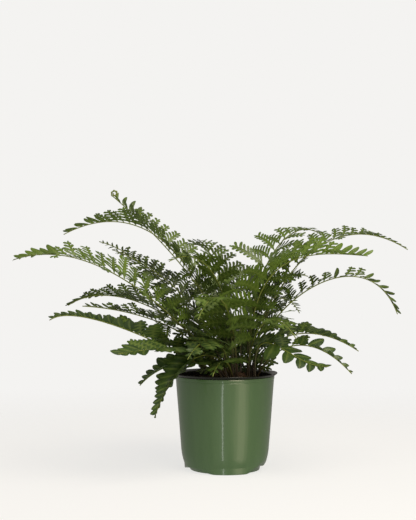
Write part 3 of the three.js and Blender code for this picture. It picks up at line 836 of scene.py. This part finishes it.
# The skin puckers a little between the veins, every 2 mm or so
pucker = add(tree, "TexNoise", {"Vector": where.outputs["Object"], "Scale": per_metre(2.08), "Detail": 2.0})
swell = add(tree, "Math", {0: pucker.outputs[0], 1: near_vein}, operation="SUBTRACT")
relief = add(tree, "Bump", {"Strength": 0.22, "Distance": 0.0006, "Height": swell.outputs[0]})
waxy = add(
    tree,
    "BsdfPrincipled",
    {"Base Color": veined.outputs[MIXED], "Roughness": 0.38, "IOR": 1.45, "Normal": relief.outputs[0]},
)
glow = add(tree, "BsdfTranslucent", {"Color": through.outputs[MIXED], "Normal": relief.outputs[0]})
leafy = add(tree, "MixShader", {0: 0.18, 1: waxy.outputs[0], 2: glow.outputs[0]})
add(tree, "OutputMaterial", {"Surface": leafy.outputs[0]})

# %% Fern stalk
# Smooth and hard, so it has a thin line of gloss, and brown where it is oldest
stalk_skin, tree = new_material("fern_stalk")
told = add(tree, "Attribute", attribute_name="growth_and_painted_shade")
parts = add(tree, "SeparateColor", {0: told.outputs["Color"]})
where = add(tree, "TexCoord")
# Brown at the foot, olive green from about a third of the way up, with streaks of 3 mm
streak = add(tree, "TexNoise", {"Vector": where.outputs["Object"], "Scale": per_metre(3.03), "Detail": 2.0})
rough_edge = add(tree, "MapRange", {0: streak.outputs[0], 1: 0.3, 2: 0.7, 3: -0.07, 4: 0.07})
height = add(tree, "Math", {0: parts.outputs[2], 1: rough_edge.outputs[0]}, operation="ADD")
greening = add(tree, "MapRange", {0: height.outputs[0], 1: 0.08, 2: 0.42})
stalk = add(
    tree,
    "Mix",
    {FACTOR: greening.outputs[0], FIRST: linear("#2f2315"), SECOND: linear("#6f7a33")},
    data_type="RGBA",
)
relief = add(tree, "Bump", {"Strength": 0.2, "Distance": 0.0003, "Height": streak.outputs[0]})
rind = add(
    tree,
    "BsdfPrincipled",
    {"Base Color": stalk.outputs[MIXED], "Roughness": 0.45, "Normal": relief.outputs[0]},
)
add(tree, "OutputMaterial", {"Surface": rind.outputs[0]})

# %% [markdown]
# ## The arch and the stalk
# A point on a cubic curve is a weighted mean of its four control points. The curve is sampled
# finely once, so that any distance along it can be looked up. At each place the stalk has three
# axes: ahead along it, across it, and up out of the frond's face.

# %% Arches
ARCH_POINTS = 301


def arch_of(one):
    """Points of the frond's arch and the distance along it to each."""
    t = np.linspace(0, 1, ARCH_POINTS)[:, None]
    flat = (1 - t) ** 3 * np.array([one["root"], 0.0]) + t**3 * np.array(one["tip"], float)
    flat = flat + 3 * (1 - t) ** 2 * t * np.array(one["rise"]) + 3 * (1 - t) * t**2 * np.array(one["bend"])
    a = math.radians(one["turn"])
    points = np.column_stack([flat[:, 0] * math.cos(a), flat[:, 0] * math.sin(a), flat[:, 1]]) + CROWN
    run = np.concatenate([[0], np.cumsum(np.linalg.norm(np.diff(points, axis=0), axis=1))])
    return points, run


def axes_at(one, distances):
    """Place, ahead, across and up of the stalk at these distances from the mix."""
    points, run = one["arch"]
    slope = np.gradient(points, run, axis=0)
    pick = np.clip(distances, 0, run[-1])
    ahead = unit(np.column_stack([np.interp(pick, run, slope[:, i]) for i in range(3)]))
    at = np.column_stack([np.interp(pick, run, points[:, i]) for i in range(3)])
    at = at + ahead * (distances - pick)[:, None]
    a = math.radians(one["turn"] - 90)
    level = np.array([math.cos(a), math.sin(a), 0.0])
    across = unit(level - ahead * (ahead @ level)[:, None])
    return at, ahead, across, np.cross(across, ahead)


# %% Stalks
STEM = {
    "buried": 10.0,  # depth of its foot in the mix
    "width": 3.3,
    "tip_width": 1.5,
    "point": 3.84,  # how far it goes on past the arch
    "step": 4.5,  # from ring to ring
    "groove": 0.72,  # how high the middle of its upper side is, as a share of the rest
}
STALK_SIDES = 10


def stalk_width(one, distances):
    """How thick the stalk is at these distances: it thins quickly at first, then slowly."""
    share = np.clip(distances / one["arch"][1][-1], 0, 1)
    return STEM["width"] + (STEM["tip_width"] - STEM["width"]) * np.sqrt(share)


def tube(at, across, up, width):
    """A stalk with a groove along its upper side: points and faces, closed at both ends."""
    phi = np.arange(STALK_SIDES) * 2 * math.pi / STALK_SIDES + math.pi / 2
    groove = np.where(np.arange(STALK_SIDES) == 0, STEM["groove"], 1.0)
    wide = (np.cos(phi) * groove)[None, :, None] * width[:, None, None] / 2
    tall = (np.sin(phi) * groove - 0.9)[None, :, None] * width[:, None, None] / 2
    rings = at[:, None, :] + across[:, None, :] * wide + up[:, None, :] * tall
    count = len(at)
    points = np.vstack([rings.reshape(-1, 3), rings[0].mean(0), rings[-1].mean(0)])
    faces = []
    for i in range(count - 1):
        for j in range(STALK_SIDES):
            k = (j + 1) % STALK_SIDES
            a, b = i * STALK_SIDES, (i + 1) * STALK_SIDES
            faces.append((a + j, b + j, b + k, a + k))
    last = (count - 1) * STALK_SIDES
    for j in range(STALK_SIDES):
        k = (j + 1) % STALK_SIDES
        faces.append((count * STALK_SIDES, j, k))
        faces.append((count * STALK_SIDES + 1, last + k, last + j))
    return points, faces


# %% [markdown]
# ## One pinna
# A fern pinna is a small feather: a web along its midrib, and lobes like fingers on both sides
# that lean to its tip. It is laid out flat first, x along the midrib and y across it. The web is a
# strip three points wide, and each finger is a strip that grows out of the web's edge. Its middle line
# carries a vein. An old pinna is the same thing with a broad web and short teeth, and a small one has
# no fingers at all.
#
# All pinnae with the same number of fingers have the same faces, so those are worked out once.

# %% Faces of a pinna
LOBE_ROWS = 4  # rows of points on a finger, past its foot
SIMPLE_COLUMNS = 8  # columns of points in the web of a plain lobe
MOST_LOBES = 15


def lobe_faces(foot, first, flip):
    """Faces of a finger that grows from the three points of foot. first is its own first point."""
    rows = [foot] + [(first + 3 * r, first + 3 * r + 1, first + 3 * r + 2) for r in range(LOBE_ROWS - 1)]
    faces = []
    for low, high in zip(rows, rows[1:]):
        faces += [(low[0], low[1], high[1], high[0]), (low[1], low[2], high[2], high[1])]
    tip, end = first + 3 * (LOBE_ROWS - 1), rows[-1]
    faces += [(end[0], end[1], tip), (end[1], end[2], tip)]
    return [f[::-1] for f in faces] if flip else faces


def pinna_faces(lobes):
    """Faces of a flat pinna with that many fingers a side, and one at its end."""
    columns = 3 * lobes + 2 if lobes else SIMPLE_COLUMNS
    faces = []
    for c in range(columns - 1):
        a, b = 3 * c, 3 * c + 3
        faces += [(a, b, b + 1, a + 1), (a + 1, b + 1, b + 2, a + 2)]
    first = 3 * columns
    own = 3 * (LOBE_ROWS - 1) + 1
    for lobe in range(lobes):
        foot = [3 * (1 + 3 * lobe + j) for j in range(3)]
        faces += lobe_faces(tuple(p + 2 for p in foot), first, False)
        faces += lobe_faces(tuple(foot), first + own, True)
        first += 2 * own
    end = 3 * (columns - 1)
    return faces + lobe_faces((end + 2, end + 1, end), first, False)


FACES = {lobes: pinna_faces(lobes) for lobes in range(MOST_LOBES + 1)}
for lobes in (0, 4, 9):
    print("a pinna with", lobes, "fingers a side has", len(FACES[lobes]), "faces")

# %% [markdown]
# ## Fine and broad pinnae
# There are two kinds of pinna. fill is a finger's share of its step, and shape is its width along it.
# lean is its angle to the midrib where it leaves it and at its end, on the upper side and on the lower
# one: fingers are bent like sickles. lobe is half the width of a plain lobe, below its midrib and above
# it, as a share of its length, and taper says how late and how fast it narrows.

# %% Two kinds of pinna
FINE = {
    "fill": 0.68,
    "shape": (0.96, 1.0, 0.64),
    "lean": ((42, 68), (38, 55)),
    "lobe": (0.11, 0.19),
    "taper": (3, 0.5),
}
BROAD = {
    "fill": 0.9,
    "shape": (0.95, 0.85, 0.55),
    "lean": ((60, 60), (55, 55)),
    "lobe": (0.24, 0.34),
    "taper": (4, 0.6),
}
LOBE_SHARES = (0.34, 0.72, 0.95)  # where a finger's rows are, as shares of its length
LOBE_TIP = 1.06  # and where its rounded tip ends
print("a finger fills", FINE["fill"], "of its step, a tooth", BROAD["fill"])


# %% One finger
def finger(foot, side, lean, reach, half, kind, lift):
    """Points of a finger on foot, on the upper side (1) or mirrored below (-1). lean is in degrees."""
    start, end = [np.array([math.cos(a), math.sin(a)]) for a in np.radians(lean)]
    points = []
    for f, wide in zip((*LOBE_SHARES, LOBE_TIP), (*kind["shape"], 0)):
        centre = foot + reach * (start * (f - f * f / 2) + end * f * f / 2)
        heading = unit(start * (1 - f) + end * f)
        sideways = np.array([heading[1], -heading[0]])
        if lean[0]:
            sideways = unit((1 - f) * np.array([1.0, 0.0]) + f * sideways)
        for s in (-1, 0, 1) if wide else (0,):
            x, y = centre + sideways * s * half * wide
            points.append((x, side * y, lift * reach * f * f))
    return np.array(points)


def finger_reach(length, t, broad, upper):
    """How long a finger is, at the share t of a pinna of that length. The upper ones are longer."""
    if broad:
        return 1.4 + 0.05 * length
    if upper:
        return min(16.0, 2.5 + 0.32 * length) * (1 - 0.5 * t)
    return min(6.0, 0.8 + 0.13 * length) * float(np.clip((t - 0.1) / 0.35, 0.1, 1)) * (1.1 - 0.4 * t)


print("fingers of a 40 mm pinna:", [round(finger_reach(40, t, False, True), 1) for t in (0, 0.5, 1)], "mm")


# %% The flat pinna
FINGERED = 0.82  # the share of a pinna's length that carries fingers


def web_widths(share, length, one, kind, lobes):
    """Half the width of the web along a pinna, below the midrib and above it."""
    below, above = kind["lobe"]
    if not lobes:
        swell, point = kind["taper"]
        waist = np.minimum(1, 0.5 + 1.4 * share)
        taper = one["plump"] * length * (1 - share**swell) ** point * waist
        return below * taper, above * taper
    if kind is BROAD:
        belly = np.sin(math.pi * np.clip((share - 0.05) / 0.95, 0, 0.97) ** 1.1) ** 0.8
        return 0.5 + below * length * belly, 0.5 + above * length * belly
    taper = np.minimum(1, share * 5) * (1 - 0.5 * share)
    taper = taper * one["web"]
    return 0.5 + (0.4 + 0.025 * length) * taper, 0.7 + (0.8 + 0.05 * length) * taper


def flat_pinna(length, one, dice):
    """x, y and height of the flat pinna's points, how near each is to a vein, and its fingers a side."""
    kind = BROAD if one["wedge"] else FINE
    pitch = one["pitch"] * (0.95 if one["wedge"] else 1)
    lobes = 0 if length < one["plain"] else int(np.clip(round(length * FINGERED / pitch), 1, MOST_LOBES))
    if lobes:
        step = length * FINGERED / lobes
        middles = length * 0.1 + step * (np.arange(lobes) + 0.5)
        half = step * kind["fill"] / 2
        edges = np.column_stack([middles - half, middles, middles + half]).ravel()
        x = np.concatenate([[0], edges, [length * 0.95]])
    else:
        x = np.linspace(0, length * 0.93, SIMPLE_COLUMNS)
    below, above = web_widths(x / length, length, one, kind, lobes)
    flat = np.zeros((len(x), 3, 3))
    flat[:, :, 0] = x[:, None]
    flat[:, 0, 1], flat[:, 2, 1] = -below, above
    vein = np.zeros((len(x), 3))
    vein[:, 1] = 1
    if lobes:
        vein[2:-1:3] = 1
    blocks, veins = [flat.reshape(-1, 3)], [vein.ravel()]
    for lobe in range(lobes):
        t = middles[lobe] / length
        for row, (side, edge) in enumerate(((1, above), (-1, below))):
            lean = np.array(kind["lean"][row]) + dice.normal(0, 4)
            reach = finger_reach(length, t, kind is BROAD, side > 0) * dice.uniform(0.85, 1.15)
            foot = np.array([middles[lobe], edge[2 + 3 * lobe]])
            blocks.append(finger(foot, side, lean, reach, half, kind, dice.normal(0, 0.12)))
            veins.append([0, 1, 0] * (LOBE_ROWS - 1) + [0.6])
    blocks.append(finger(np.array([x[-1], 0.0]), 1, (0, 0), max(1.0, length * 0.07), below[-1], kind, 0))
    veins.append([0, 1, 0] * (LOBE_ROWS - 1) + [0.6])
    return np.vstack(blocks), np.concatenate(veins), lobes


print("a flat 40 mm pinna has", len(flat_pinna(40, FRONDS[1], np.random.default_rng(1))[0]), "points")

# %% [markdown]
# ## Growing the pinnae
# The pinnae follow the same rules as in the CAD source, with more of them: they start at a right
# angle or nearly so, lean more towards the tip, are longest low on the frond, and droop at their ends.
# Every length and angle is varied a little from a seeded random number generator. Leaves in a real plant
# push past each other and don't cross, so each new pinna is tested against its neighbours
# and bent or shortened until it is clear.

# %% One pinna in its place
PINNA = {
    "most_fold": 62,  # degrees
    "sag": 0.17,  # how far its tip droops, as a share of its length
    "curve": 0.2,  # how far its middle bows ahead
    "arch": 0.1,  # how far its middle bows up
    "camber": 0.1,  # how far its edges turn down
    "wave": 0.12,  # how far its edges swing up and down
}
SPREAD = {"length": 0.24, "angle": 12, "fold": 16, "tone": 0.18}


def pinna_share(u, blunt):
    """How long the pinnae are at the share u of the leafy length, as a share of the longest."""
    return min(1, 0.6 + 2 * u) * (1 - u) ** 1.1 * (1.1 - blunt) + blunt


def place_pinna(one, axes, side, u, width, draw, bend, scale):
    """A pinna's points in space, its faces, its vein values and whether it is a plain lobe."""
    at, ahead, across, up = axes
    length = one["leaf"] * pinna_share(u, one["blunt"]) * (1 + SPREAD["length"] * draw["length"]) * scale
    low_angle, tip_angle = one["angles"]
    lean = low_angle + (tip_angle - low_angle) * u**1.3
    forward = math.radians(lean + SPREAD["angle"] * draw["angle"])
    fold = one["fold"] - side * one["roll"] + SPREAD["fold"] * draw["fold"] + bend
    fold = math.radians(min(PINNA["most_fold"], fold))
    out = across * side * math.cos(fold) + up * math.sin(fold)
    along = ahead * math.cos(forward) + out * math.sin(forward)
    face = unit(np.cross(along, ahead)) * side
    beside = unit(ahead - along * (along @ ahead))
    flat, veins, lobes = flat_pinna(length, one, np.random.default_rng(draw["seed"]))
    x, y, z = flat.T
    reach = np.abs(y).max()
    swing = math.sin(draw["fold"] * 9) * PINNA["wave"] * np.sin(x / length * 5 + draw["angle"] * 12)
    z = z + swing * y - PINNA["camber"] * y**2 / reach
    z = z - PINNA["sag"] * x**2 / length + PINNA["arch"] * x * (1 - x / length)
    root = at - up * width * 0.25 + out * (width * 0.3)
    y = y + PINNA["curve"] * x * (1 - x / length)
    points = root + along * x[:, None] + beside * y[:, None] + face * z[:, None]
    faces = FACES[lobes] if side > 0 else [f[::-1] for f in FACES[lobes]]
    return points, faces, veins, lobes == 0


shares = [round(pinna_share(u, USUAL["blunt"]), 2) for u in (0, 0.25, 0.5, 0.75, 1)]
print("pinna lengths along a frond, as shares of the longest:", shares)

# %% Room for a pinna
BENDS = [0, 12, -12, 24, -24, 38, -38]
SCALES = [1, 0.82, 0.64]
TRIES = [(bend, scale) for scale in SCALES for bend in BENDS]
placed = []  # (owner, lowest corner, highest corner, search tree) of every stalk and pinna


def crosses(allowed, low, high, search):
    """True if the new pinna cuts through something that it isn't allowed to grow into."""
    for other, other_low, other_high, other_search in placed:
        if other not in allowed and (low < other_high).all() and (other_low < high).all():
            if search.overlap(other_search):
                return True
    return False


def remember(owner, points, faces):
    placed.append((owner, points.min(0), points.max(0), BVHTree.FromPolygons(points.tolist(), faces)))


print("ways to place a pinna:", len(TRIES))

# %% Stalks and the crozier's curl
COIL = {
    "radius": 4.2,  # of the spiral, where it begins
    "inner": 0.6,  # and where it ends
    "turns": 1.25,
    "steps": 60,
    "thick": 3.3,
    "knobs": 8,  # swellings, where young pinnae are still rolled up
    "knob": 0.16,  # how far they swell
    "bare": 9,  # the length below the curl that carries no pinnae
}


def coil_rings(last):
    """The crozier's curl: it goes on from the last ring of the stalk and winds back over it."""
    at, ahead, across, up = last
    centre = at + up * COIL["radius"]
    turn = np.linspace(0, COIL["turns"] * 2 * math.pi, COIL["steps"] + 1)[1:]
    radius = np.linspace(COIL["radius"], COIL["inner"], COIL["steps"] + 1)[1:]
    places = centre - up * (radius * np.cos(turn))[:, None] + ahead * (radius * np.sin(turn))[:, None]
    heading = ahead * np.cos(turn)[:, None] + up * np.sin(turn)[:, None]
    sideways = np.repeat(across[None], len(turn), axis=0)
    return places, heading, sideways, np.cross(sideways, heading)


def stalk_of(one):
    """The stalk's rings, each with its axes, from its buried foot to its tip."""
    length = one["arch"][1][-1]
    end = length if one["name"] == "crozier" else length + STEM["point"]
    distances = np.concatenate([[-STEM["buried"]], np.linspace(0, end, int(end / STEM["step"]))])
    rings = list(axes_at(one, distances))
    width = stalk_width(one, distances)
    if one["name"] == "crozier":
        curl = coil_rings([axis[-1] for axis in rings])
        rings = [np.vstack(pair) for pair in zip(rings, curl)]
        swollen = COIL["thick"] * np.sin(np.linspace(0.35, math.pi * 0.9, COIL["steps"])) ** 0.5
        knobs = 1 + COIL["knob"] * np.sin(np.linspace(0, COIL["knobs"] * 2 * math.pi, COIL["steps"]))
        width = np.concatenate([width, swollen * knobs])
        distances = np.concatenate([distances, np.full(COIL["steps"], length)])
    return rings, width, distances / length


for one in FRONDS:
    one["arch"] = arch_of(one)
    one["rings"], one["width"], one["climb"] = stalk_of(one)
    at, _, across, up = one["rings"]
    one["stalk"] = tube(at, across, up, one["width"])
    remember("stalk_" + one["name"], *one["stalk"])
print("stalks:", len(placed), "longest", round(max(one["arch"][1][-1] for one in FRONDS)), "mm")


# %% Growing one frond
BARE_TIP = 2  # the length at a frond's tip that carries no pinnae
# Painted shade: low pinnae get a darker green, deepest at the mix and gone a little way up the frond
PAINTED_SHADE = {"depth": 0.14, "end": 3.5}  # it ends where the distance is the length over end


def grow(index, one):
    """The parts of a frond, (points, faces, veins, tone, climb, material) of its stalk and pinnae, and how
    many pinnae found no room.
    """
    dice = np.random.default_rng(100 + index)
    length = one["arch"][1][-1]
    points, faces = one["stalk"]
    climb = np.concatenate([np.repeat(one["climb"], STALK_SIDES), [0, 1]])
    parts = [(points, faces, 0, one["tone"], climb, 1)]
    distance, side, grown, dropped = one["bare"] * length, 1 if index % 2 else -1, 0, 0
    mine = "stalk_" + one["name"]
    while distance < length - (COIL["bare"] if one["name"] == "crozier" else BARE_TIP):
        # Rounding can take the first pinna's share below zero, where a power of it has no value
        u = max(0.0, (distance / length - one["bare"]) / (1 - one["bare"]))
        axes = [axis[0] for axis in axes_at(one, np.array([distance]))]
        width = stalk_width(one, np.array([distance]))[0]
        draw = {key: dice.random() - 0.5 for key in ("length", "angle", "fold")}
        draw["seed"] = int(dice.integers(1 << 30))
        for bend, scale in TRIES:
            points, faces, veins, plain = place_pinna(one, axes, side, u, width, draw, bend, scale)
            low, high = points.min(0), points.max(0)
            search = BVHTree.FromPolygons(points.tolist(), faces)
            # Plain lobes run together at their feet, so they may meet the pinnae of their own frond
            if not crosses((mine, one["name"]) if plain else (mine,), low, high, search):
                # The lower a pinna grows, the deeper it sits in the others' shade, and that shade is painted
                # into its green as a darker tone
                painted_shade = PAINTED_SHADE["depth"] * max(0, 1 - PAINTED_SHADE["end"] * distance / length)
                tone = one["tone"] + dice.uniform(-SPREAD["tone"], SPREAD["tone"]) - painted_shade
                grown += 1
                # A pinna that has fallen takes up no room
                if grown > one["lost"]:
                    placed.append((one["name"], low, high, search))
                    parts.append((points, faces, veins, tone, distance / length, 0))
                break
        else:
            dropped += 1
        low_step, tip_step = one["steps"]
        distance += low_step + (tip_step - low_step) * u
        side = -side
    return parts, dropped


# %% Growing them all
left_out = 0
for index, one in enumerate(FRONDS):
    parts, dropped = grow(index, one)
    left_out += dropped
    all_points = np.vstack([p[0] for p in parts])
    starts = np.cumsum([0] + [len(p[0]) for p in parts[:-1]])
    all_faces = [tuple(start + i for i in f) for start, p in zip(starts, parts) for f in p[1]]
    kinds = [p[5] for p in parts for _ in p[1]]
    # The second column holds each pinna's tone, with its painted shade
    growth_and_painted_shade = np.ones((len(all_points), 4), np.float32)
    for column, which in enumerate((2, 3, 4)):
        growth_and_painted_shade[:, column] = np.concatenate([np.broadcast_to(p[which], len(p[0])) for p in parts])
    growth_and_painted_shade[:, 3] = 1.0 if one["wedge"] else 0.0
    piece = mesh_object("fern_" + one["name"], all_points, all_faces, [leaf_skin, stalk_skin], kinds)
    carried = piece.data.color_attributes.new("growth_and_painted_shade", "FLOAT_COLOR", "POINT")
    carried.data.foreach_set("color", growth_and_painted_shade.ravel())
    tie(piece, "frond_" + one["name"])
print("pinnae:", len(placed) - len(FRONDS), "left out:", left_out)
